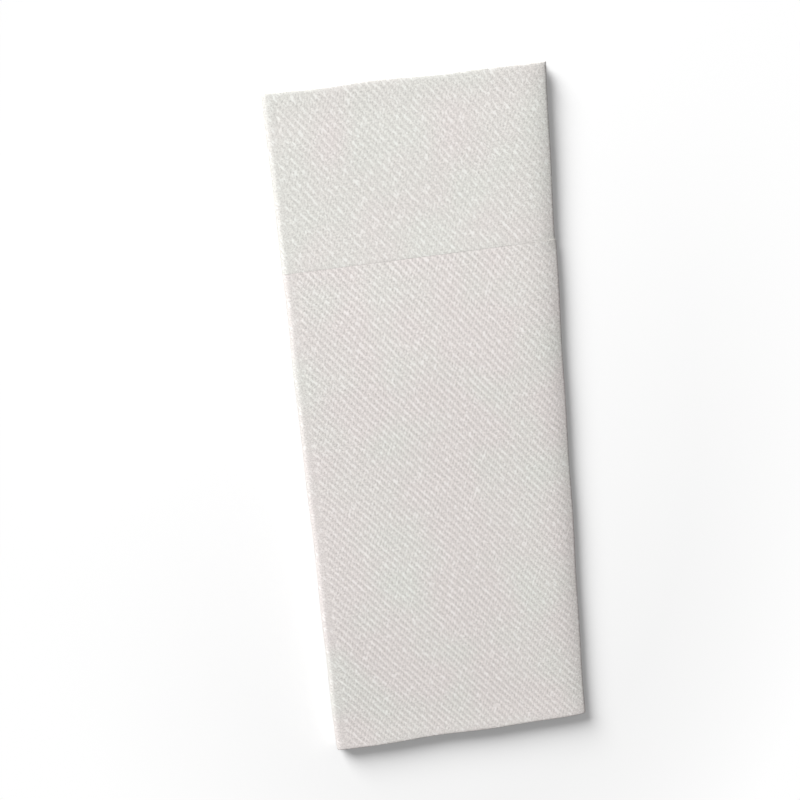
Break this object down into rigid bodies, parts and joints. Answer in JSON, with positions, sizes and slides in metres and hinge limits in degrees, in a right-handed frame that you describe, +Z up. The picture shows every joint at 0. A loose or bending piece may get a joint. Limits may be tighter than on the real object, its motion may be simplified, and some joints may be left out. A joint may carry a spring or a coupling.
{
  "type": "paper napkin",
  "caption": "Flat folded white paper napkin with an embossed twill texture; its folds form a front pocket that takes cutlery at a place setting.",
  "frame": {"origin": "on the surface that the napkin lies on, under the middle of the folded pack", "axes": "+X across the pack from the spine to the closed edge, +Y along the pack to the end beside the pocket's mouth, +Z up out of the front"},
  "size_m": [0.08, 0.2, 0.0051],
  "materials": {
    "paper": "matte, embossed all over with a fine diagonal twill"
  },
  "bodies": {
    "root": {"napkin": "paper"}
  },
  "joints": []
}
